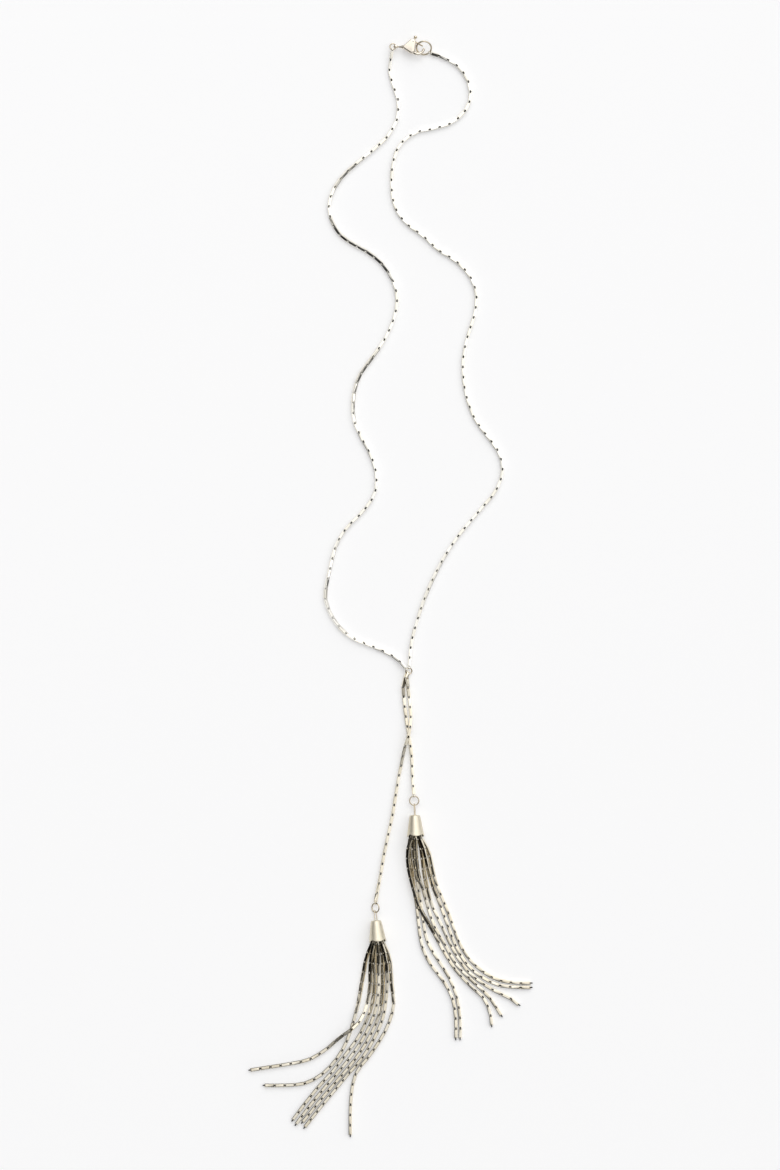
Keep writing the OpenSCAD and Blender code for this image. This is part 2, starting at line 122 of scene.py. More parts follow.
STRANDS_LEFT = [
    [(-7.1, -160.3, 4.3), (-7.5, -163.5, 4.5, 28), (-8.8, -170.5, 2.1, 30), (-9.3, -177, 0.2, 30),
     (-9.3, -184, 0, 30), (-10.9, -193, 0.1), (-13.5, -199.5, 1.2), (-17.2, -203.5, 2),
     (-20, -205.5, 1.8), (-24, -208.5, 0.7), (-29, -213), (-37, -218), (-45.5, -220), (-55, -221.5),
     (-64.5, -223)],
    [(-7.7, -160.3, 2.6), (-8.1, -163.5, 2.75, 28), (-11, -171, 0.6, 35), (-11.9, -176, 0, 42),
     (-13.3, -183.5, 0, 40), (-14.5, -191, 0, 25), (-17, -200.5, 0.07), (-20, -209.5), (-24.5, -217.5),
     (-31, -224.5), (-39, -229), (-48.5, -230), (-58, -230)],
    [(-6.9, -160.3, 0.95), (-7, -163.5, 1.1, 20), (-7.4, -170, 0, 35), (-7.3, -177, 0, 42),
     (-7.3, -184.5, 0, 40), (-9, -195, 0, 20), (-14, -206.5), (-20, -215), (-26.5, -223.5),
     (-32.5, -230), (-39, -238), (-45, -246)],
    [(-6.05, -160.3, 2.6), (-5.95, -163.5, 2.85, 22), (-5.6, -171, 0.9, 15), (-5.5, -177.5),
     (-5.4, -184.5), (-7, -196), (-12, -207.5), (-18, -216.5), (-24.4, -224.4), (-30.6, -231.5),
     (-37.2, -239.6), (-43.5, -248)],
    [(-5.3, -160.3, 0.95), (-4.7, -163.5, 1.1, 22), (-3.6, -170, 0, 35), (-3.6, -177, 0, 42),
     (-3.5, -184.5, 0, 40), (-5, -197, 0, 15), (-9.5, -207.5), (-15.5, -217), (-22, -225),
     (-28.6, -232.5), (-35, -240.3), (-40.5, -247)],
    [(-5.4, -160.3, 4.3), (-4.4, -163.5, 4.5, 28), (-2.2, -171, 2.4, 25), (-1.7, -178, 0.3),
     (-1.5, -184.5), (-3, -197), (-6.5, -206.5), (-13, -217.5), (-19, -224.3), (-26, -232.7),
     (-32.3, -240.3), (-39.5, -249.3)],
    [(-4.4, -160.3, 2.6), (-3.6, -163.5, 2.8, 28), (-0.6, -170.5, 0.6, 35), (0.1, -175, 0, 40),
     (0.6, -183.5, 0, 35), (1.5, -193, 0.1), (-1, -202), (-5.3, -210), (-10.6, -217.6), (-13.8, -221.3),
     (-16.5, -226), (-18, -234), (-18.5, -243.5), (-18.5, -253)]]

# %% [markdown]
# A smooth curve goes through the points of a route, and the joints of the links sit one pitch apart
# along it. A Catmull-Rom curve is used because it passes through every point, so a bend stays where the
# picture has it. The links themselves are straight between two joints, as real ones are.

# %% The joints along a route
LINK_W = 1.5
LINK_PITCH = 4.7
SMOOTH_STEPS = 8


def lie_height(roll):
    angle = math.radians(roll)
    return LINK_W / 2 * (abs(math.cos(angle)) + abs(math.sin(angle)))


def smooth(route):
    rows = []
    for point in route:
        x, y, lift, roll = (*point, 0, 0)[:4]
        rows.append(Vector((x, y, lift + lie_height(roll), roll)))
    curve = []
    for i in range(len(rows) - 1):
        a, b, c, d = rows[max(i - 1, 0)], rows[i], rows[i + 1], rows[min(i + 2, len(rows) - 1)]
        for k in range(SMOOTH_STEPS):
            t = k / SMOOTH_STEPS
            p = b + t / 2 * (c - a + t * (2 * a - 5 * b + 4 * c - d + t * (3 * (b - c) + d - a)))
            p.z = max(p.z, lie_height(p.w))
            curve.append(p)
    curve.append(rows[-1])
    return curve


def joints(route):
    curve = smooth(route)
    along = [0.0]
    for a, b in zip(curve, curve[1:]):
        along.append(along[-1] + (b.xyz - a.xyz).length)
    count = round(along[-1] / LINK_PITCH)
    found = []
    k = 0
    for i in range(count + 1):
        s = along[-1] * i / count
        while k < len(curve) - 2 and along[k + 1] < s:
            k += 1
        found.append(curve[k].lerp(curve[k + 1], (s - along[k]) / (along[k + 1] - along[k])))
    return found


left_joints = joints(NECK_LEFT)
print("joints in the left neck chain:", len(left_joints))

# %% [markdown]
# The metal is a pale gold plating with a high polish. Its colour is light and only a little warm, and
# what makes it look like metal is what it mirrors: a white tent above and darker things around it.
# All the metals share one node group. It mixes two tones by a value that each link carries, and by soft
# noise on the object's own coordinates, and it gives a slight unevenness to the polish. A painted image
# could do that too, but every link would have to be unwrapped for it. A second value, the shade,
# darkens single faces. It stands in for dark things near the tassels that these faces mirror in the
# picture, and that a simple light setup doesn't hold.

# %% The shared plating group
CLOUD_SHARE = 0.5
SCUFF_SCALE = 900
NOISE_LOW = 0.3
NOISE_HIGH = 0.7
# A near black for painted shade and painted dark reflection on single faces.
PAINTED_SHADE_TONE = (0.035, 0.026, 0.012, 1)


def add(nodes, kind, **values):
    node = nodes.new(kind)
    for name, value in values.items():
        setattr(node, name, value)
    return node


def build_plating_group():
    group = bpy.data.node_groups.new("pale_gold_plating", "ShaderNodeTree")
    for name in ("Light Tone", "Deep Tone"):
        group.interface.new_socket(name, in_out="INPUT", socket_type="NodeSocketColor")
    for name in ("Tone", "Shade", "Cloud Scale", "Polish Low", "Polish High"):
        group.interface.new_socket(name, in_out="INPUT", socket_type="NodeSocketFloat")
    group.interface.new_socket("Color", in_out="OUTPUT", socket_type="NodeSocketColor")
    for name in ("Roughness", "Height"):
        group.interface.new_socket(name, in_out="OUTPUT", socket_type="NodeSocketFloat")
    nodes, link = group.nodes, group.links.new
    given = nodes.new("NodeGroupInput")
    out = nodes.new("NodeGroupOutput")
    coords = nodes.new("ShaderNodeTexCoord")
    clouds = add(nodes, "ShaderNodeTexNoise")
    clouds.inputs["Detail"].default_value = 3
    link(coords.outputs["Object"], clouds.inputs["Vector"])
    link(given.outputs["Cloud Scale"], clouds.inputs["Scale"])
    drift = add(nodes, "ShaderNodeMath", operation="MULTIPLY_ADD")
    drift.inputs[1].default_value = CLOUD_SHARE
    link(clouds.outputs["Fac"], drift.inputs[0])
    link(given.outputs["Tone"], drift.inputs[2])
    centred = add(nodes, "ShaderNodeMath", operation="SUBTRACT", use_clamp=True)
    centred.inputs[1].default_value = CLOUD_SHARE / 2
    link(drift.outputs[0], centred.inputs[0])
    tones = add(nodes, "ShaderNodeMix", data_type="RGBA")
    link(centred.outputs[0], tones.inputs["Factor"])
    link(given.outputs["Light Tone"], tones.inputs["A"])
    link(given.outputs["Deep Tone"], tones.inputs["B"])
    # The shade value mixes in the near black tone: painted shade and painted dark reflection.
    shaded = add(nodes, "ShaderNodeMix", data_type="RGBA")
    shaded.inputs["B"].default_value = PAINTED_SHADE_TONE
    link(given.outputs["Shade"], shaded.inputs["Factor"])
    link(tones.outputs["Result"], shaded.inputs["A"])
    link(shaded.outputs["Result"], out.inputs["Color"])
    scuffs = add(nodes, "ShaderNodeTexNoise")
    scuffs.inputs["Scale"].default_value = SCUFF_SCALE
    scuffs.inputs["Detail"].default_value = 4
    link(coords.outputs["Object"], scuffs.inputs["Vector"])
    polish = add(nodes, "ShaderNodeMapRange")
    polish.inputs["From Min"].default_value = NOISE_LOW
    polish.inputs["From Max"].default_value = NOISE_HIGH
    link(scuffs.outputs["Fac"], polish.inputs["Value"])
    link(given.outputs["Polish Low"], polish.inputs["To Min"])
    link(given.outputs["Polish High"], polish.inputs["To Max"])
    link(polish.outputs["Result"], out.inputs["Roughness"])
    link(scuffs.outputs["Fac"], out.inputs["Height"])
    return group


PLATING = build_plating_group()
print("inputs and outputs of the plating:", len(PLATING.interface.items_tree))

# %% [markdown]
# A metal is the Principled shader at full Metallic. The plating group feeds its colour and its
# roughness, and a very shallow bump from the same noise keeps a flat face from mirroring like glass.
# The chains are the palest, the caps are satin, and the rings and the clasp are a deeper gold. The
# inside of a link is painted nearly black, a painted shade, because hardly any light gets in there.

# %% The metals
CLOUD_SCALE = 120
RIPPLE_STRENGTH = 0.35
RIPPLE_DEPTH = 0.02 * MM


def make_metal(name, light, deep, polish=(0.12, 0.24)):
    material = bpy.data.materials.new(name)
    material.use_nodes = True
    nodes, link = material.node_tree.nodes, material.node_tree.links.new
    shader = nodes["Principled BSDF"]
    shader.inputs["Metallic"].default_value = 1
    plating = add(nodes, "ShaderNodeGroup", node_tree=PLATING)
    plating.inputs["Light Tone"].default_value = (*light, 1)
    plating.inputs["Deep Tone"].default_value = (*deep, 1)
    plating.inputs["Cloud Scale"].default_value = CLOUD_SCALE
    plating.inputs["Polish Low"].default_value = polish[0]
    plating.inputs["Polish High"].default_value = polish[1]
    for value, socket in (("tone", "Tone"), ("shade", "Shade")):
        carried = add(nodes, "ShaderNodeAttribute", attribute_name=value)
        link(carried.outputs["Fac"], plating.inputs[socket])
    ripple = add(nodes, "ShaderNodeBump")
    ripple.inputs["Strength"].default_value = RIPPLE_STRENGTH
    ripple.inputs["Distance"].default_value = RIPPLE_DEPTH
    link(plating.outputs["Height"], ripple.inputs["Height"])
    link(plating.outputs["Color"], shader.inputs["Base Color"])
    link(plating.outputs["Roughness"], shader.inputs["Roughness"])
    link(ripple.outputs["Normal"], shader.inputs["Normal"])
    return material


CHAIN_GOLD = make_metal("chain_gold", (0.95, 0.925, 0.86), (0.79, 0.74, 0.62))
TASSEL_GOLD = make_metal("tassel_gold", (0.93, 0.87, 0.74), (0.76, 0.67, 0.49))
# Painted shade: a near black metal for the insides of links and caps, the wires between links and the
# tips of the strands.
PAINTED_INSIDE_SHADE = make_metal("link_inside_painted_shade", (0.03, 0.025, 0.018), (0.015, 0.012, 0.01), polish=(0.4, 0.6))
CAP_GOLD = make_metal("cap_gold", (0.80, 0.74, 0.60), (0.64, 0.57, 0.42), polish=(0.42, 0.52))
RING_GOLD = make_metal("ring_gold", (0.68, 0.60, 0.47), (0.44, 0.37, 0.26), polish=(0.10, 0.2))
CLASP_GOLD = make_metal("clasp_gold", (0.80, 0.73, 0.63), (0.56, 0.48, 0.37), polish=(0.18, 0.28))
METALS = [CHAIN_GOLD, TASSEL_GOLD, PAINTED_INSIDE_SHADE, CAP_GOLD, RING_GOLD, CLASP_GOLD]
print("metals:", [metal.name for metal in METALS])

# %% [markdown]
# Each link is a short length of square tube. Its ends are open, and each end has a small notch in the
# top and in the bottom face, so that every joint of the chain shows as a small dark slot between two
# bright rails. The notches could be cut out with a boolean. Here the faces where a notch will be are
# deleted from the outer and the inner wall, and the gap between the walls is bridged at each corner.
# That way each notch costs only a few faces.

# %% The notches of a link
RAIL_GAP = 0.2
NOTCH_DEEP = 0.5
NOTCH_W = 0.84
WALL = 0.3
SLACK = 0.01
LINK_LEN = LINK_PITCH - RAIL_GAP
TIP_FROM = LINK_LEN / 2 - NOTCH_DEEP
INNER_REACH = LINK_W / 2 - WALL


def open_notches(bm):
    gone = []
    for f in bm.faces:
        at = f.calc_center_median()
        in_tip = abs(at.x) > TIP_FROM
        in_wall = abs(at.z) > INNER_REACH - SLACK
        if in_tip and in_wall and abs(at.y) < NOTCH_W / 2 - SLACK:
            gone.append(f)
    bmesh.ops.delete(bm, geom=gone, context="FACES")
    rims = [e for e in bm.edges if e.is_boundary]
    outer = [e for e in rims if min(abs(v.co.z) for v in e.verts) > LINK_W / 2 - SLACK]
    inner = [e for e in rims if max(abs(v.co.z) for v in e.verts) < INNER_REACH + SLACK]
    for side_x in (1, -1):
        for side_z in (1, -1):
            here = [e for e in outer + inner if at_corner(e, side_x, side_z)]
            bmesh.ops.bridge_loops(bm, edges=here)


def at_corner(edge, side_x, side_z):
    middle = (edge.verts[0].co + edge.verts[1].co) / 2
    return middle.x * side_x > 0 and middle.z * side_z > 0


print("link and notch in mm:", round(LINK_LEN, 2), "long,", NOTCH_W, "by", NOTCH_DEEP)

# %% [markdown]
# One link is shaped once and copied later: a box whose ends are inset and pushed in, cut by planes at
# the notch's edges, and opened there. A bevel then rounds its four long edges, which makes the thin
# highlights along a chain. It keeps to 90 faces, because there are nearly five hundred links.

# %% One link
RECESS = 0.75
LONG_EDGE_ROUND = 0.22
TOUCHING = 0.001
END_FACING = 0.9


def is_long_edge(edge):
    a, b = edge.verts[0].co, edge.verts[1].co
    on_corner = all(abs(abs(v) - LINK_W / 2) < TOUCHING for v in (a.y, a.z, b.y, b.z))
    return on_corner and abs(a.y - b.y) < TOUCHING and abs(a.z - b.z) < TOUCHING


def is_inside(face):
    reach = max(max(abs(v.co.y), abs(v.co.z)) for v in face.verts)
    return reach < INNER_REACH + SLACK


def build_link():
    bm = bmesh.new()
    bmesh.ops.create_cube(bm, size=1)
    bmesh.ops.scale(bm, vec=(LINK_LEN, LINK_W, LINK_W), verts=bm.verts)
    ends = [f for f in bm.faces if abs(f.normal.x) > END_FACING]
    bmesh.ops.inset_individual(bm, faces=ends, thickness=WALL)
    pushed = bmesh.ops.extrude_discrete_faces(bm, faces=ends)["faces"]
    for f in pushed:
        inward = -math.copysign(RECESS, f.calc_center_median().x)
        bmesh.ops.translate(bm, vec=(inward, 0, 0), verts=f.verts)
    for cut_x in (TIP_FROM, -TIP_FROM):
        whole = bm.verts[:] + bm.edges[:] + bm.faces[:]
        bmesh.ops.bisect_plane(bm, geom=whole, plane_co=(cut_x, 0, 0), plane_no=(1, 0, 0))
    for cut_y in (NOTCH_W / 2, -NOTCH_W / 2):
        tips = [f for f in bm.faces if abs(f.calc_center_median().x) > TIP_FROM]
        tips = [f for f in tips if abs(f.calc_center_median().z) > INNER_REACH - SLACK]
        edges = list({e for f in tips for e in f.edges})
        verts = list({v for f in tips for v in f.verts})
        bmesh.ops.bisect_plane(bm, geom=verts + edges + tips, plane_co=(0, cut_y, 0),
                               plane_no=(0, 1, 0))
    open_notches(bm)
    long_edges = [e for e in bm.edges if is_long_edge(e)]
    bmesh.ops.bevel(bm, geom=long_edges, offset=LONG_EDGE_ROUND, offset_type="OFFSET", segments=2,
                    profile=0.5, affect="EDGES", material=-1)
    bmesh.ops.recalc_face_normals(bm, faces=bm.faces)
    for f in bm.faces:
        f.smooth = True
        # Inside faces take the second metal, which is painted shade.
        f.material_index = 1 if is_inside(f) else 0
    return bm


link_shape = build_link()
LINK_MESH = bpy.data.meshes.new("link_shape")
link_shape.to_mesh(LINK_MESH)
print("faces in one link:", len(link_shape.faces))
open_edges = [e for e in link_shape.edges if not e.is_manifold]
print("open edges in one link:", len(open_edges))
link_shape.free()

# %% [markdown]
# Small wires and pins are all made by one helper. It starts from a round disc and extrudes it from
# point to point of a path, turning the disc as it goes. A curve object with a round bevel could make
# the same wire, but it would have to be turned into a mesh before it could join the other parts of a
# piece. The disc can also grow and shrink on its way, as a cast hook does.

# %% Wires


def sweep(bm, path, radius, sides=10, material=0):
    """Extrudes a disc along the path. The radius is one number, or one for each point."""
    radii = radius if isinstance(radius, (list, tuple)) else [radius] * len(path)
    before = set(bm.faces)
    heading = (path[1] - path[0]).normalized()
    turn = heading.to_track_quat("Z", "Y")
    place = Matrix.Translation(path[0]) @ turn.to_matrix().to_4x4()
    disc = bmesh.ops.create_circle(bm, cap_ends=True, segments=sides, radius=radii[0], matrix=place)
    face = disc["verts"][0].link_faces[0]
    for i in range(1, len(path)):
        new = bmesh.ops.extrude_face_region(bm, geom=[face])["geom"]
        if i > 1:
            bmesh.ops.delete(bm, geom=[face], context="FACES_ONLY")
        face = [g for g in new if isinstance(g, bmesh.types.BMFace)][0]
        after = path[min(i + 1, len(path) - 1)] - path[i - 1]
        swing = heading.rotation_difference(after.normalized())
        heading = after.normalized()
        bmesh.ops.rotate(bm, cent=path[i - 1], matrix=swing.to_matrix(), verts=face.verts)
        bmesh.ops.translate(bm, vec=path[i] - path[i - 1], verts=face.verts)
        grow = radii[i] / radii[i - 1]
        bmesh.ops.scale(bm, vec=(grow, grow, grow), verts=face.verts,
                        space=Matrix.Translation(-path[i]))
    made = [f for f in bm.faces if f not in before]
    for f in made:
        f.material_index = material
        f.smooth = True
    bmesh.ops.recalc_face_normals(bm, faces=made)
    return made


def arc(centre, radius, start, end, steps, u=Vector((1, 0, 0)), v=Vector((0, 1, 0))):
    points = []
    for i in range(steps + 1):
        angle = math.radians(start + (end - start) * i / steps)
        points.append(centre + radius * (math.cos(angle) * u + math.sin(angle) * v))
    return points


half_turn = arc(Vector((0, 0, 0)), 1, 0, 180, 12)
half_turn_mm = sum((b - a).length for a, b in zip(half_turn, half_turn[1:]))
print("a half turn in 12 steps, which is 3.142 when it is round:", round(half_turn_mm, 3))

# %% [markdown]
# A finished piece is a mesh in metres with its object at the origin. The helper below scales the shape
# from millimetres, marks the edges that stay sharp, gives it its metals, hides the plain solid that it
# stands for, and lets it move with the right body of the model.

# %% Finishing a piece
SHARP_ANGLE = math.radians(35)


def finish_piece(bm, name, metals, stands_for, body="necklace"):
    bmesh.ops.scale(bm, vec=(MM, MM, MM), verts=bm.verts)
    for e in bm.edges:
        if e.is_manifold and e.calc_face_angle(0) > SHARP_ANGLE:
            e.smooth = False
    mesh = bpy.data.meshes.new(name)
    bm.to_mesh(mesh)
    bm.free()
    for metal in metals:
        mesh.materials.append(metal)
    piece = bpy.data.objects.new(name, mesh)
    scene.collection.objects.link(piece)
    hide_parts(*stands_for)
    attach(piece, body)
    print(name + ":", len(mesh.polygons), "faces")


# %% [markdown]
# A chain that ends on a ring has a small eye there, a band of metal that is bent round. The section of
# the band is a flattened circle, and it is spun once round the eye's axis. A torus would be quicker,
# but it is as thick as it is wide.

# %% The eye at a chain's end
EYE_WALL = 0.22
EYE_W = 0.7
EYE_SIDES = 8
EYE_STEPS = 24
SMALL_EYE = 0.45
LARGE_EYE = 0.66
eye_widths = [round(2 * (hole_r + EYE_WALL), 2) for hole_r in (SMALL_EYE, LARGE_EYE)]
print("widths of the two eyes in mm:", eye_widths)


def add_eye(bm, place, hole_r):
    """A flat band that is bent round into a ring."""
    old_faces = len(bm.faces)
    profile = bmesh.ops.create_circle(
        bm, cap_ends=False, segments=EYE_SIDES, radius=1,
        matrix=place @ Matrix.Translation((hole_r + EYE_WALL / 2, 0, 0))
        @ Matrix.Diagonal((EYE_WALL / 2, EYE_W / 2, 1, 1)))
    ring_edges = list({e for v in profile["verts"] for e in v.link_edges})
    bmesh.ops.spin(
        bm, geom=profile["verts"] + ring_edges, cent=place.translation,
        axis=place.to_3x3() @ Vector((0, 1, 0)), dvec=(0, 0, 0), angle=math.tau,
        steps=EYE_STEPS, use_merge=True, use_duplicate=False)
    bm.faces.ensure_lookup_table()
    for f in bm.faces[old_faces:]:
        f.smooth = True


# %% [markdown]
# A link lies between two joints of its route. Its place is found from them: a turn in the table's
# plane, a tilt where one joint is higher, and the roll. On the real chain no two links mirror quite the
# same thing, so each gets a tone of its own. A random number could give it, but the tone comes from the
# link's number here, so it is the same in every run.

# %% The place and the tone of a link
TONE_SPREAD = 0.5
MIX_STEP = 12.9898
MIX_SCALE = 43758.5453


def link_place(a, b):
    along = b.xyz - a.xyz
    yaw = Matrix.Rotation(math.atan2(along.y, along.x), 4, "Z")
    pitch = Matrix.Rotation(-math.asin(along.z / along.length), 4, "Y")
    roll = Matrix.Rotation(math.radians((a.w + b.w) / 2), 4, "X")
    return Matrix.Translation(a.xyz) @ yaw @ pitch @ roll, along.length


def tone_of(number):
    """A repeatable value between 0 and 1 for each link."""
    value = math.sin(number * MIX_STEP) * MIX_SCALE
    return value - math.floor(value)


first_tones = [round(tone_of(number) * TONE_SPREAD, 2) for number in range(1, 6)]
print("tones of the first five links:", first_tones)

# %% [markdown]
# A chain is a copy of the link between each two joints. Between the links there is a thin wire, as in
# the real chain, where it holds the tubes together and is hardly seen; it is painted dark with the
# painted shade of a link's inside. Instances of one link would be lighter, but each link has its own
# length and its own tone here, and a chain is one piece. The tone and the painted shade are kept as
# attributes of the faces, which the metals read.

# %% Building a chain
EYE_CLEAR = 0.1
WIRE_R = 0.3
WIRE_REACH = 0.7
TIP_BACK = 0.4
TIP_OUT = 0.9
UPPER_FACING = 0.5
LEFT_FACING = -0.3


def build_chain(bm, route, seed, start_eye=0, end_eye=0, free_end=False, shades=(), edge_shade=0):
    """The first links get painted shade on their upper faces by shades, and the others on their left
    edge.
    """
    for name in ("tone", "shade"):
        if name not in bm.faces.layers.float:
            bm.faces.layers.float.new(name)
    tone_layer = bm.faces.layers.float["tone"]
    shade_layer = bm.faces.layers.float["shade"]
    points = joints(route)
    last = len(points) - 2
    for i, (a, b) in enumerate(zip(points, points[1:])):
        place, span = link_place(a, b)
        start = start_eye + EYE_CLEAR if i == 0 and start_eye else RAIL_GAP / 2
        end = span - (end_eye + EYE_CLEAR if i == last and end_eye else RAIL_GAP / 2)
        old = len(bm.verts)
        old_faces = len(bm.faces)
        bm.from_mesh(LINK_MESH)
        bm.verts.ensure_lookup_table()
        bm.faces.ensure_lookup_table()
        in_cap = free_end and i == 0
        # Faces that get painted shade: the upper ones, or all of them inside a cap, and the left edges.
        tops = [f for f in bm.faces[old_faces:] if f.normal.z > UPPER_FACING or in_cap]
        edges = [f for f in bm.faces[old_faces:] if f.normal.y < LEFT_FACING]
        middle = Matrix.Translation(((start + end) / 2, 0, 0))
        stretch = middle @ Matrix.Scale((end - start) / LINK_LEN, 4, (1, 0, 0))
        bmesh.ops.transform(bm, matrix=place @ stretch, verts=bm.verts[old:])
        tone = tone_of(seed + i) * TONE_SPREAD
        for f in bm.faces[old_faces:]:
            f[tone_layer] = tone
        for f in tops if i < len(shades) else edges:
            f[shade_layer] = shades[i] if i < len(shades) else edge_shade
        if i > 0:
            # The wire between links and the tip of a free end take the second metal, which is painted
            # shade.
            wire = [place @ Vector((-WIRE_REACH, 0, 0)), place @ Vector((WIRE_REACH, 0, 0))]
            sweep(bm, wire, WIRE_R, sides=6, material=1)
        if i == 0 and start_eye:
            add_eye(bm, place, start_eye)
        if i == last and end_eye:
            add_eye(bm, place @ Matrix.Translation((span, 0, 0)), end_eye)
        if i == last and free_end:
            tip = [place @ Vector((end - TIP_BACK, 0, 0)), place @ Vector((end + TIP_OUT, 0, 0))]
            sweep(bm, tip, WIRE_R, sides=6, material=1)
    return len(points) - 1


# %% [markdown]
# The two neck chains differ in one thing: the right one hangs on the clasp's large end ring, so its
# first eye is wider. Each starts its own series of tones.

# %% Neck chains
NECK_CHAINS = [
    ("neck_chain_left", NECK_LEFT, SMALL_EYE, 1),
    ("neck_chain_right", NECK_RIGHT, LARGE_EYE, 101)]
link_total = 0
for name, route, start_hole, seed in NECK_CHAINS:
    bm = bmesh.new()
    link_total += build_chain(bm, route, seed, start_eye=start_hole, end_eye=SMALL_EYE)
    finish_piece(bm, name + "_links", [CHAIN_GOLD, PAINTED_INSIDE_SHADE], [name])
print("links in the neck chains:", link_total)

# %% [markdown]
# Under the caps the strands crowd together and mirror each other, and they are streaked with black
# there. Each strand gets a painted shade of its own on its upper faces, which fades out over its first
# links; it stands in for that shade and dark reflection. The very first link sits inside the cap and is
# painted dark on all sides. Further down a painted shade along the left edge of the links, for the dark
# that they mirror from the next strand, sets each strand off from it.

# %% Tassel strands
SHADES = {
    "left": (0.85, 0.95, 0.9, 0.2, 0.85, 0.7, 0.3),
    "right": (0.95, 0.8, 0.9, 0.1, 0.95, 0.2, 0.85)}
SHADED_LINKS = 8
FADE_FROM = 1.5
FADE_LINKS = 5
# Painted shade and dark reflection on the left edge faces of the links past the shaded ones.
EDGE_SHADE = 0.8
SEED_STEP = 40


def fading(shade):
    """How dark the painted shade on the upper face of each link is, counted from the cap."""
    return [shade * min(1, FADE_FROM - i / FADE_LINKS) for i in range(SHADED_LINKS)]


link_total = 0
for side, routes, seed in (("left", STRANDS_LEFT, 300), ("right", STRANDS_RIGHT, 700)):
    for k, route in enumerate(routes):
        bm = bmesh.new()
        shades = fading(SHADES[side][k])
        link_total += build_chain(bm, route, seed + SEED_STEP * k, free_end=True, shades=shades,
                                  edge_shade=EDGE_SHADE)
        name = f"strand_{side}_{k + 1}"
        finish_piece(bm, name + "_links", [TASSEL_GOLD, PAINTED_INSIDE_SHADE], [name])
print("links in the strands:", link_total)

# %% [markdown]
# The tie chain's two legs start one above the other at the fold, which is a bent strip of metal round
# the ring's wire. The strip could be a bent box. It is a swept wire that is widened to the width of a
# link, because a swept section turns evenly round so tight a bend. Two links at the fold are shaded
# like those of the tassels, because the picture has them dark.

# %% Tie chain
FOLD_AT = Vector((7.7, -40.81, 1.6))
FOLD_TURN = math.radians(-112)
FOLD_ROLL = math.radians(-25)
FOLD_R = 0.95
FOLD_LEG = 1.7
FOLD_THICK = 0.7
# Painted shade on the upper faces of the first two links at the fold.
FOLD_SHADES = (0.9, 0.6)

bm = bmesh.new()
link_total = build_chain(bm, TIE_RIGHT, 201, end_eye=SMALL_EYE, shades=FOLD_SHADES)
link_total += build_chain(bm, TIE_LEFT, 251, end_eye=SMALL_EYE)
ahead = Vector((math.cos(FOLD_TURN), math.sin(FOLD_TURN), 0))
up = Matrix.Rotation(FOLD_ROLL, 3, ahead) @ Vector((0, 0, 1))
across = ahead.cross(up)
fold_path = [FOLD_AT + ahead * FOLD_LEG + up * FOLD_R]
fold_path += arc(FOLD_AT, FOLD_R, 90, 270, 12, ahead, up)
fold_path += [FOLD_AT + ahead * FOLD_LEG - up * FOLD_R]
strip = sweep(bm, fold_path, FOLD_THICK / 2, sides=8)
strip_verts = list({v for f in strip for v in f.verts})
widen = Matrix.Scale(LINK_W / FOLD_THICK, 4, across)
bmesh.ops.transform(bm, matrix=Matrix.Translation(FOLD_AT) @ widen @ Matrix.Translation(-FOLD_AT),
                    verts=strip_verts)
finish_piece(bm, "tie_chain_links", [TASSEL_GOLD, PAINTED_INSIDE_SHADE], ["tie_chain"])
print("links in the tie chain:", link_total)

# %% [markdown]
# The rings are round wire that was wound on a rod and cut, so each has a fine slit where its two ends
# meet. A disc is spun almost all the way round, and its two ends stay closed. A ready torus would have
# no slit. Each line of the table gives a ring's place, the radius to the middle of its wire, the wire's
# thickness and the angle of its slit.

# %% Rings
SLIT_DEG = 1.5
CLASP_AT = Vector((2.45, 247.3, 2.5))
CLASP_TURN = -3
CLASP_RING_R = 1.35
SMALL_WIRE = 0.6
LARGE_WIRE = 0.8
LEAN_AXIS = Vector((-0.5, -math.sin(math.radians(120)), 0))


def leaning(at, degrees, axis):
    """A place that leans by some degrees about an axis."""
    return Matrix.Translation(at) @ Matrix.Rotation(math.radians(degrees), 4, axis)


def add_ring(bm, place, mid_r, wire_d, slit_at, steps=56, sides=14):
    turned = place @ Matrix.Rotation(math.radians(slit_at), 4, "Z")
    stand = turned @ Matrix.Translation((mid_r, 0, 0)) @ Matrix.Rotation(math.radians(90), 4, "X")
    disc = bmesh.ops.create_circle(bm, cap_ends=True, segments=sides, radius=wire_d / 2, matrix=stand)
    face = disc["verts"][0].link_faces[0]
    before = set(bm.faces) - {face}
    bmesh.ops.spin(
        bm, geom=[face], cent=place.translation, axis=place.to_3x3() @ Vector((0, 0, 1)),
        dvec=(0, 0, 0), angle=math.radians(360 - SLIT_DEG), steps=steps, use_merge=False,
        use_duplicate=False)
    made = [f for f in bm.faces if f not in before]
    bmesh.ops.recalc_face_normals(bm, faces=made)
    for f in made:
        f.smooth = True


in_clasp = leaning(CLASP_AT, CLASP_TURN, "Z")
clasp_ring_at = (CLASP_AT.x - CLASP_RING_R, CLASP_AT.y, 1.9)
RINGS = [
    ("clasp_ring", Matrix.Translation(clasp_ring_at), CLASP_RING_R, SMALL_WIRE, 120),
    ("centre_ring", leaning((8.4, -39.6, 1.6), -25, LEAN_AXIS), 1.5, SMALL_WIRE, -30),
    ("tassel_ring_left", leaning((-6.9, -148.3, 1.8), -40, "Y"), 2.1, SMALL_WIRE, 170),
    ("tassel_ring_right", Matrix.Translation((10.9, -99.1, 1.6)), 2.1, SMALL_WIRE, 20),
    ("end_ring", in_clasp @ leaning((12.9, 0, 0), 38, "X"), 3.4, LARGE_WIRE, 60)]
for name, place, mid_r, wire_d, slit_at in RINGS:
    bm = bmesh.new()
    add_ring(bm, place, mid_r, wire_d, slit_at)
    finish_piece(bm, name + "_wire", [RING_GOLD], [name])
print("rings made:", len(RINGS))
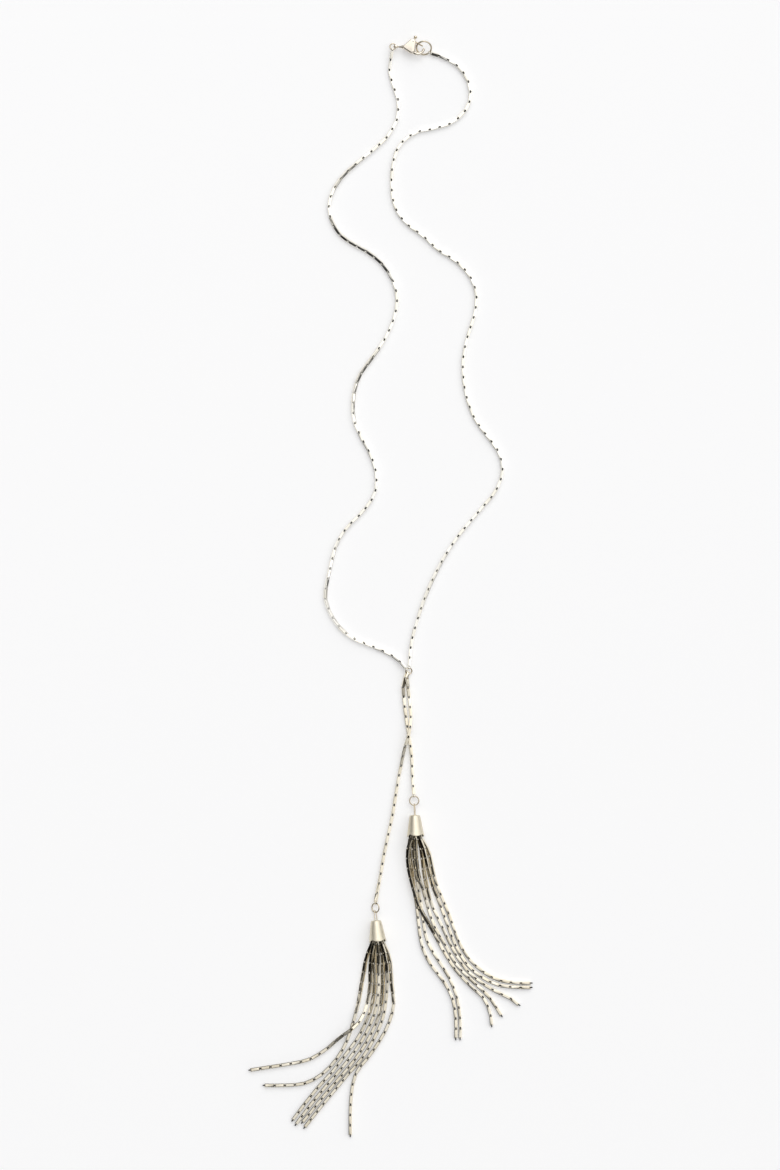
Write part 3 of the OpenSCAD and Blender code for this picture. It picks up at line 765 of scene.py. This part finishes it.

# %% [markdown]
# Each tassel hangs from a bell cap that is spun from thin sheet. Its profile is drawn once, outside and
# inside, as pairs of radius and height, and spun round the axis. The rim isn't straight: it has four
# shallow petals, so the rim's points are moved along the axis by an arc that has a sharp notch between
# two petals. Moving the points keeps the neat rows of faces, which cutting the petals out wouldn't. The
# cap's inside is painted dark, with the painted shade of a link's inside.

# %% The shape of a cap
CAP_LEN = 9.9
CAP_RIM_R = 4
CAP_TOP_R = 2.5
CAP_WALL = 0.45
PETAL_RISE = 0.9
PETAL_REACH = 3.3
PETAL_DEG = 90
PETAL_TURN = 50
CAP_STEPS = 96
SAME_POINT = 0.0001
CAP_OUTSIDE = [
    (CAP_RIM_R - 0.16, 0.0), (CAP_RIM_R - 0.04, 0.06), (CAP_RIM_R, 0.2), (CAP_RIM_R - 0.1, 0.75),
    (CAP_RIM_R - 0.28, 1.9), (CAP_RIM_R - 0.52, 3.3), (CAP_RIM_R - 0.8, 5.2),
    (CAP_RIM_R - 1.12, 7.2), (CAP_TOP_R + 0.06, 9), (CAP_TOP_R - 0.08, 9.45),
    (CAP_TOP_R - 0.35, 9.78), (CAP_TOP_R - 0.7, CAP_LEN), (1.3, CAP_LEN), (1.2, CAP_LEN - 0.08)]
CAP_INSIDE = [
    (1.2, CAP_LEN - CAP_WALL), (CAP_TOP_R - 0.75, CAP_LEN - CAP_WALL),
    (CAP_TOP_R - 0.4, CAP_LEN - 0.9), (CAP_RIM_R - 1.3, 5), (CAP_RIM_R - 0.6, 1.2),
    (CAP_RIM_R - 0.34, 0.1)]


def build_cap(place):
    bm = bmesh.new()
    verts = [bm.verts.new((r, 0, z)) for r, z in CAP_OUTSIDE + CAP_INSIDE]
    edges = [bm.edges.new((a, b)) for a, b in zip(verts, verts[1:] + verts[:1])]
    bmesh.ops.spin(bm, geom=verts + edges, cent=(0, 0, 0), axis=(0, 0, 1), dvec=(0, 0, 0),
                   angle=math.tau, steps=CAP_STEPS, use_merge=True, use_duplicate=False)
    bmesh.ops.remove_doubles(bm, verts=bm.verts, dist=SAME_POINT)
    bmesh.ops.recalc_face_normals(bm, faces=bm.faces)
    half_petal = PETAL_DEG / 2
    for v in bm.verts:
        angle = math.degrees(math.atan2(v.co.y, v.co.x))
        from_petal = ((angle - PETAL_TURN) % PETAL_DEG - half_petal) / half_petal
        fade = max(0, 1 - v.co.z / PETAL_REACH)
        v.co.z += PETAL_RISE * from_petal ** 2 * fade ** 2
    for f in bm.faces:
        f.smooth = True
        outwards = f.calc_center_median() * Vector((1, 1, 0))
        # Inside faces take the second metal, which is painted shade.
        f.material_index = 1 if f.normal.dot(outwards) < 0 else 0
    bmesh.ops.transform(bm, matrix=place, verts=bm.verts)
    return bm


print("cap in mm:", CAP_LEN, "long,", 2 * CAP_RIM_R, "wide at the rim,", 2 * CAP_TOP_R, "at the top")

# %% [markdown]
# A loop of thin wire stands out of the hole in the cap's top, and the tassel's ring goes through it.
# On a real cap it is often a pin that is bent over and held inside. It is swept like the other wires,
# because it is one: two straight legs and half a circle between them.

# %% The loop in a cap's top
LOOP_R = 0.76
LOOP_WIRE_R = 0.22
LOOP_BELOW = 1.2
LOOP_STRAIGHT = 0.6


def build_cap_eye(place, length, roll):
    turned = place @ Matrix.Rotation(math.radians(roll), 4, "Z")
    low = CAP_LEN - LOOP_BELOW
    high = length - LOOP_STRAIGHT
    path = [Vector((-LOOP_R, 0, low)), Vector((-LOOP_R, 0, high))]
    path += arc(Vector((0, 0, length)), LOOP_R, 180, 0, 14, Vector((1, 0, 0)), Vector((0, 0, 1)))
    path += [Vector((LOOP_R, 0, high)), Vector((LOOP_R, 0, low))]
    bm = bmesh.new()
    sweep(bm, [turned @ p for p in path], LOOP_WIRE_R, sides=12)
    return bm


print("loop in mm:", round(2 * (LOOP_R + LOOP_WIRE_R), 2), "wide")

# %% [markdown]
# Both caps lie on their side. A cap is wider at its rim than at its top, so its axis falls towards the
# top by a few degrees. A cap could be let fall on the table to find that angle, but it follows from its
# shape. Each line below gives the middle of a cap's rim, the turn of its axis in the table's plane, how
# far its loop reaches, and how the loop is turned.

# %% Both caps
CAP_FALL = 9.3


def cap_place(at, turn):
    yaw = Matrix.Rotation(math.radians(turn), 4, "Z")
    return Matrix.Translation(at) @ yaw @ Matrix.Rotation(math.radians(90 + CAP_FALL), 4, "Y")


CAPS = [("left", Vector((-5.83, -163.8, 3.96)), 95, 13.6, -40),
        ("right", Vector((11.55, -115.5, 3.96)), 92.2, 14.4, 15)]
for side, at, turn, eye_len, roll in CAPS:
    place = cap_place(at, turn)
    shell = build_cap(place)
    finish_piece(shell, f"cap_{side}_shell", [CAP_GOLD, PAINTED_INSIDE_SHADE], [f"cap_{side}"])
    loop = build_cap_eye(place, eye_len, roll)
    finish_piece(loop, f"cap_eye_{side}_wire", [RING_GOLD], [f"cap_eye_{side}"])
print("caps made:", len(CAPS))

# %% [markdown]
# The clasp is a lobster claw. Its body is a fat rounded wedge that is cast in one with the hook, and a
# small sprung lever turns in a slot of the body. The body is two domed cheeks with a core between them
# that stops short of the lever, so the slot is really open and needs no cut through the rounded edges.
# All numbers are millimetres in the clasp's own frame, with its length along x, and the whole is put in
# place last. A corner of the wedge is an arc: its centre, its radius, its first and last angle, and its
# steps.

# %% The clasp's cheeks and core
CHEEK_LOW = 0.74
CHEEK_HIGH = 1.6
CHEEK_ROUND = 0.62
CORE_END = (7.1, 1.3, 0)
CORE_END_FACING = (0.55, 0.83, 0)
WEDGE_CORNERS = [
    (Vector((4.2, -0.1, 0)), 1.0, 125, 245, 8),
    (Vector((7.4, -1.5, 0)), 1.4, 245, 350, 9),
    (Vector((7.6, 2.4, 0)), 1.5, 0, 120, 9)]


def wedge_outline():
    points = []
    for centre, radius, start, end, steps in WEDGE_CORNERS:
        points += arc(centre, radius, start, end, steps)
    return points


def add_slab(bm, outline, low, high, round_over):
    """A plate with the wedge's outline, with its upper edge rounded over if that is asked for."""
    ring_verts = [bm.verts.new((p.x, p.y, low)) for p in outline]
    base = bm.faces.new(ring_verts)
    raised = bmesh.ops.extrude_face_region(bm, geom=[base])["geom"]
    top_verts = [g for g in raised if isinstance(g, bmesh.types.BMVert)]
    top = [g for g in raised if isinstance(g, bmesh.types.BMFace)][0]
    bmesh.ops.translate(bm, vec=(0, 0, high - low), verts=top_verts)
    if round_over:
        bmesh.ops.bevel(bm, geom=list(top.edges), offset=round_over, offset_type="OFFSET", segments=4,
                        profile=0.5, affect="EDGES", material=-1, clamp_overlap=True)
    linked = {base}
    front = [base]
    while front:
        face = front.pop()
        for e in face.edges:
            for other in e.link_faces:
                if other not in linked:
                    linked.add(other)
                    front.append(other)
    bmesh.ops.recalc_face_normals(bm, faces=list(linked))
    for f in linked:
        f.smooth = True
    return list(linked)


def mirror_down(bm, faces):
    """The lower cheek is the upper one turned over."""
    copy = bmesh.ops.duplicate(bm, geom=list({v for f in faces for v in f.verts}) + faces)["geom"]
    verts = [g for g in copy if isinstance(g, bmesh.types.BMVert)]
    bmesh.ops.scale(bm, vec=(1, 1, -1), verts=verts)
    bmesh.ops.reverse_faces(bm, faces=[g for g in copy if isinstance(g, bmesh.types.BMFace)])


bm = bmesh.new()
cheek = add_slab(bm, wedge_outline(), CHEEK_LOW, CHEEK_HIGH, CHEEK_ROUND)
mirror_down(bm, cheek)
cheeks = set(bm.faces)
add_slab(bm, wedge_outline(), -CHEEK_LOW, CHEEK_LOW, 0)
core = [f for f in bm.faces if f not in cheeks]
core_geom = list({v for f in core for v in f.verts}) + list({e for f in core for e in f.edges}) + core
cut = bmesh.ops.bisect_plane(bm, geom=core_geom, plane_co=CORE_END, plane_no=CORE_END_FACING,
                             clear_outer=True)
cut_edges = [g for g in cut["geom_cut"] if isinstance(g, bmesh.types.BMEdge)]
bmesh.ops.holes_fill(bm, edges=cut_edges, sides=0)
print("faces in the cheeks and the core:", len(bm.faces))

# %% [markdown]
# The rest of the body is made of wires that run into it, as in one casting. The hook is an arc that
# tapers to its nose. The pin goes through both cheeks and carries the lever. A neck leads from the
# wedge to the bail, the small loop that the clasp hangs on. Hook, pin and neck are swept with a radius
# for each point, because a cast clasp is hardly anywhere of one thickness. The bail is a ring like the
# others, stretched along the table.

# %% Hook, pin, neck and bail
HOOK_MID = Vector((10.2, -0.1, 0))
HOOK_R = 2.75
HOOK_FROM = -150
HOOK_TO = -8
NOSE_STEPS = [Vector((0.08, 0.3, 0)), Vector((0.03, 0.16, 0))]
PIVOT = Vector((7.9, 2.7, 0))
HOOK_WIRE_R = [0.95, 0.92, 0.88, 0.84, 0.8, 0.76, 0.73, 0.7, 0.68, 0.66, 0.64]
HOOK_WIRE_R += [0.62] * 4 + [0.6] * 8 + [0.44, 0.2]
PIN_Z = (-1.68, -1.6, -0.4, 0.4, 1.6, 1.68)
PIN_R = [0.2, 0.4, 0.4, 0.4, 0.4, 0.2]
NECK = [
    Vector((0.95, 0, -0.6)), Vector((1.6, 0, -0.55)), Vector((2.4, 0, -0.35)),
    Vector((3.3, -0.05, -0.1)), Vector((4.2, -0.1, 0))]
NECK_R = [0.35, 0.42, 0.6, 0.95, 1.0]
BAIL_SINK = -0.6
BAIL_R = 0.95
BAIL_WIDEN = 1.7

hook_path = arc(HOOK_MID, HOOK_R, HOOK_FROM, HOOK_TO, 22)
for step in NOSE_STEPS:
    hook_path.append(hook_path[-1] + step)
sweep(bm, hook_path, HOOK_WIRE_R, sides=14)
sweep(bm, [PIVOT + Vector((0, 0, z)) for z in PIN_Z], PIN_R, sides=16)
sweep(bm, NECK, NECK_R, sides=14)
before_bail = set(bm.verts)
add_ring(bm, leaning((0, 0, BAIL_SINK), 90, "X"), BAIL_R, SMALL_WIRE, 0, steps=28, sides=10)
bail_verts = [v for v in bm.verts if v not in before_bail]
bmesh.ops.scale(bm, vec=(1, BAIL_WIDEN, 1), verts=bail_verts)
bmesh.ops.transform(bm, matrix=in_clasp, verts=bm.verts)
finish_piece(bm, "clasp_body_cast", [CLASP_GOLD, PAINTED_INSIDE_SHADE], ["clasp_body"])

# %% [markdown]
# The lever is the one piece that moves. A thumb pushes its button, it turns about the pin, and its arm
# swings into the hook. A hub turns on the pin, the arm is a tapered wire from the hub to the hook's
# nose, and the button is a flattened ball. It is a piece of its own, so that it can turn, and it is
# drawn closed, as it lies in the picture.

# %% Clasp lever
ARM = [
    PIVOT, Vector((8.9, 2.5, 0)), Vector((10, 1.98, 0)), Vector((11.2, 1.38, 0)),
    Vector((12.2, 0.92, 0)), Vector((12.45, 0.8, 0))]
ARM_R = [0.5, 0.45, 0.4, 0.38, 0.36, 0.2]
THUMB = [PIVOT, Vector((8.1, 3.3, 0)), Vector((8.45, 4.05, 0)), Vector((8.8, 4.7, 0))]
THUMB_R = [0.55, 0.5, 0.5, 0.55]
BUTTON_AT = (8.8, 4.75, 0)
BUTTON_HALF = (0.85, 0.75, 0.65, 1)
HUB_Z = (-0.65, -0.58, 0.58, 0.65)
HUB_R = [0.92, 1, 1, 0.92]

bm = bmesh.new()
sweep(bm, ARM, ARM_R, sides=12)
sweep(bm, THUMB, THUMB_R, sides=12)
button = Matrix.Translation(BUTTON_AT) @ Matrix.Diagonal(BUTTON_HALF)
bmesh.ops.create_uvsphere(bm, u_segments=20, v_segments=12, radius=1, matrix=button)
sweep(bm, [PIVOT + Vector((0, 0, z)) for z in HUB_Z], HUB_R, sides=24)
for f in bm.faces:
    f.smooth = True
bmesh.ops.transform(bm, matrix=in_clasp, verts=bm.verts)
finish_piece(bm, "clasp_lever_cast", [RING_GOLD], ["clasp_lever"], body="lever")
print("clasp made at", [round(v, 1) for v in CLASP_AT])

# %% [markdown]
# The table is a plain pale sheet that glows a little, as a table lit from below does. The picture has
# very faint shadows, and the glow fills those of the lamps. It lies a hair below the necklace, so that
# the two never share a surface, and it is wide enough to fill a low view.

# %% Table
TABLE_HALF = 8
TABLE_SINK = 0.06 * MM
TABLE_GLOW = 0.305


def build_table():
    bm = bmesh.new()
    bmesh.ops.create_grid(bm, x_segments=2, y_segments=2, size=TABLE_HALF)
    bmesh.ops.translate(bm, vec=(0, 0, -TABLE_SINK), verts=bm.verts)
    mesh = bpy.data.meshes.new("table")
    bm.to_mesh(mesh)
    bm.free()
    material = bpy.data.materials.new("table_white")
    material.use_nodes = True
    shader = material.node_tree.nodes["Principled BSDF"]
    shader.inputs["Base Color"].default_value = (0.8, 0.8, 0.805, 1)
    shader.inputs["Roughness"].default_value = 0.75
    shader.inputs["Specular IOR Level"].default_value = 0.2
    shader.inputs["Emission Color"].default_value = (1, 1, 1, 1)
    shader.inputs["Emission Strength"].default_value = TABLE_GLOW
    mesh.materials.append(material)
    table = bpy.data.objects.new("table", mesh)
    scene.collection.objects.link(table)


build_table()
print("table in metres:", 2 * TABLE_HALF, "wide")

# %% [markdown]
# A small bright thing is photographed in a tent of white light. The sky of the scene plays the tent: it
# is brightest high above the right and far end of the table and falls off smoothly to a dark studio on
# the other side and near the table. What a polished link mirrors decides its tone, so a face that looks
# up or to the far end is pale, and one that looks to the left or slopes down out of a cap is dark. A
# low glow in front of the table is what the chains mirror when they are seen from behind, where they
# would otherwise be black. A photograph of a studio could be the sky instead, but here the brightness
# of each direction is a number that can be read. The camera itself doesn't see the tent: it gets an
# even light grey as the background.

# %% The tent of light
BACKDROP = (0.93, 0.93, 0.93, 1)
TENT_AXIS = Vector((0.3, 0.5, 0.82)).normalized()
GLOW_AXIS = Vector((0.35, -0.92, 0.15)).normalized()
GLOW_FROM = 0.78
GLOW_FULL = 0.93
GLOW_LEVEL = 0.7
TENT_STOPS = [
    (0.0, 0.03), (0.35, 0.03), (0.5, 0.12), (0.62, 0.55), (0.72, 0.87), (0.785, 1.0), (0.83, 1.18),
    (0.88, 1.42)]


def build_sky():
    world = bpy.data.worlds.new("tent")
    scene.world = world
    world.use_nodes = True
    nodes, link = world.node_tree.nodes, world.node_tree.links.new
    tent = nodes["Background"]
    coords = nodes.new("ShaderNodeTexCoord")
    toward = add(nodes, "ShaderNodeVectorMath", operation="DOT_PRODUCT")
    toward.inputs[1].default_value = TENT_AXIS
    link(coords.outputs["Generated"], toward.inputs[0])
    ramp = nodes.new("ShaderNodeValToRGB")
    link(toward.outputs["Value"], ramp.inputs["Fac"])
    while len(ramp.color_ramp.elements) < len(TENT_STOPS):
        ramp.color_ramp.elements.new(0.5)
    for stop, (at, level) in zip(ramp.color_ramp.elements, TENT_STOPS):
        stop.position = at
        stop.color = (level, level, level, 1)
    ahead = add(nodes, "ShaderNodeVectorMath", operation="DOT_PRODUCT")
    ahead.inputs[1].default_value = GLOW_AXIS
    link(coords.outputs["Generated"], ahead.inputs[0])
    glow = add(nodes, "ShaderNodeMapRange", interpolation_type="SMOOTHSTEP")
    glow.inputs["From Min"].default_value = GLOW_FROM
    glow.inputs["From Max"].default_value = GLOW_FULL
    glow.inputs["To Max"].default_value = GLOW_LEVEL
    link(ahead.outputs["Value"], glow.inputs["Value"])
    both = add(nodes, "ShaderNodeMath", operation="ADD")
    link(ramp.outputs["Color"], both.inputs[0])
    link(glow.outputs["Result"], both.inputs[1])
    link(both.outputs["Value"], tent.inputs["Color"])
    tent.inputs["Strength"].default_value = 1
    seen = nodes.new("ShaderNodeBackground")
    seen.inputs["Color"].default_value = BACKDROP
    choose = nodes.new("ShaderNodeMixShader")
    rays = nodes.new("ShaderNodeLightPath")
    link(rays.outputs["Is Camera Ray"], choose.inputs["Fac"])
    link(tent.outputs["Background"], choose.inputs[1])
    link(seen.outputs["Background"], choose.inputs[2])
    link(choose.outputs["Shader"], nodes["World Output"].inputs["Surface"])


build_sky()
print("brightness of the tent:", [level for at, level in TENT_STOPS])

# %% [markdown]
# Three large soft lamps light the table from above, one at the far end and one on each side. The tent
# alone would light it too, but the lamps give the faint shadows a direction. They are round and wide,
# because a small lamp would leave hard points of light on the polish.

# %% Lamps
LAMP_AIM = Vector((0, 0, 0))
LAMPS = [
    ("softbox_far", (0, 2.6, 2.4), 2.0, 16, (1, 1, 1)),
    ("softbox_left", (-2.4, 0.3, 1.9), 1.4, 6, (1, 0.99, 0.97)),
    ("softbox_right", (2.4, -0.3, 1.9), 1.4, 4, (1, 1, 1))]


def add_lamp(name, at, size, watts, color):
    """A round soft lamp that looks at the middle of the table."""
    lamp = bpy.data.lights.new(name, "AREA")
    lamp.shape = "DISK"
    lamp.size = size
    lamp.energy = watts
    lamp.color = color
    holder = bpy.data.objects.new(name, lamp)
    holder.location = at
    holder.rotation_euler = (LAMP_AIM - Vector(at)).to_track_quat("-Z", "Y").to_euler()
    scene.collection.objects.link(holder)


for lamp_values in LAMPS:
    add_lamp(*lamp_values)
print("lamps:", len(bpy.data.lights))

# %% [markdown]
# The picture looks straight down on the table. The camera hangs 1.5 metres above it, with a lens whose
# view takes in the same 538 mm from top to bottom as the picture does. From nearer, more of the sides
# of the outer links would show. Standard colours, without a film curve, keep the sheet nearly white.

# %% Camera
VIEW_MM = 538.2
CAMERA_MM = 1500
CAMERA_X_MM = -0.23
SENSOR_MM = 36

camera_data = bpy.data.cameras.new("camera")
camera_data.sensor_fit = "VERTICAL"
camera_data.sensor_height = SENSOR_MM
camera_data.lens = SENSOR_MM * CAMERA_MM / VIEW_MM
camera_data.clip_start = 0.01
camera_data.clip_end = 20
camera = bpy.data.objects.new("camera", camera_data)
camera.location = (CAMERA_X_MM * MM, 0, CAMERA_MM * MM)
scene.collection.objects.link(camera)
scene.camera = camera
scene.view_settings.view_transform = "Standard"
print("lens in mm:", round(camera_data.lens, 1))
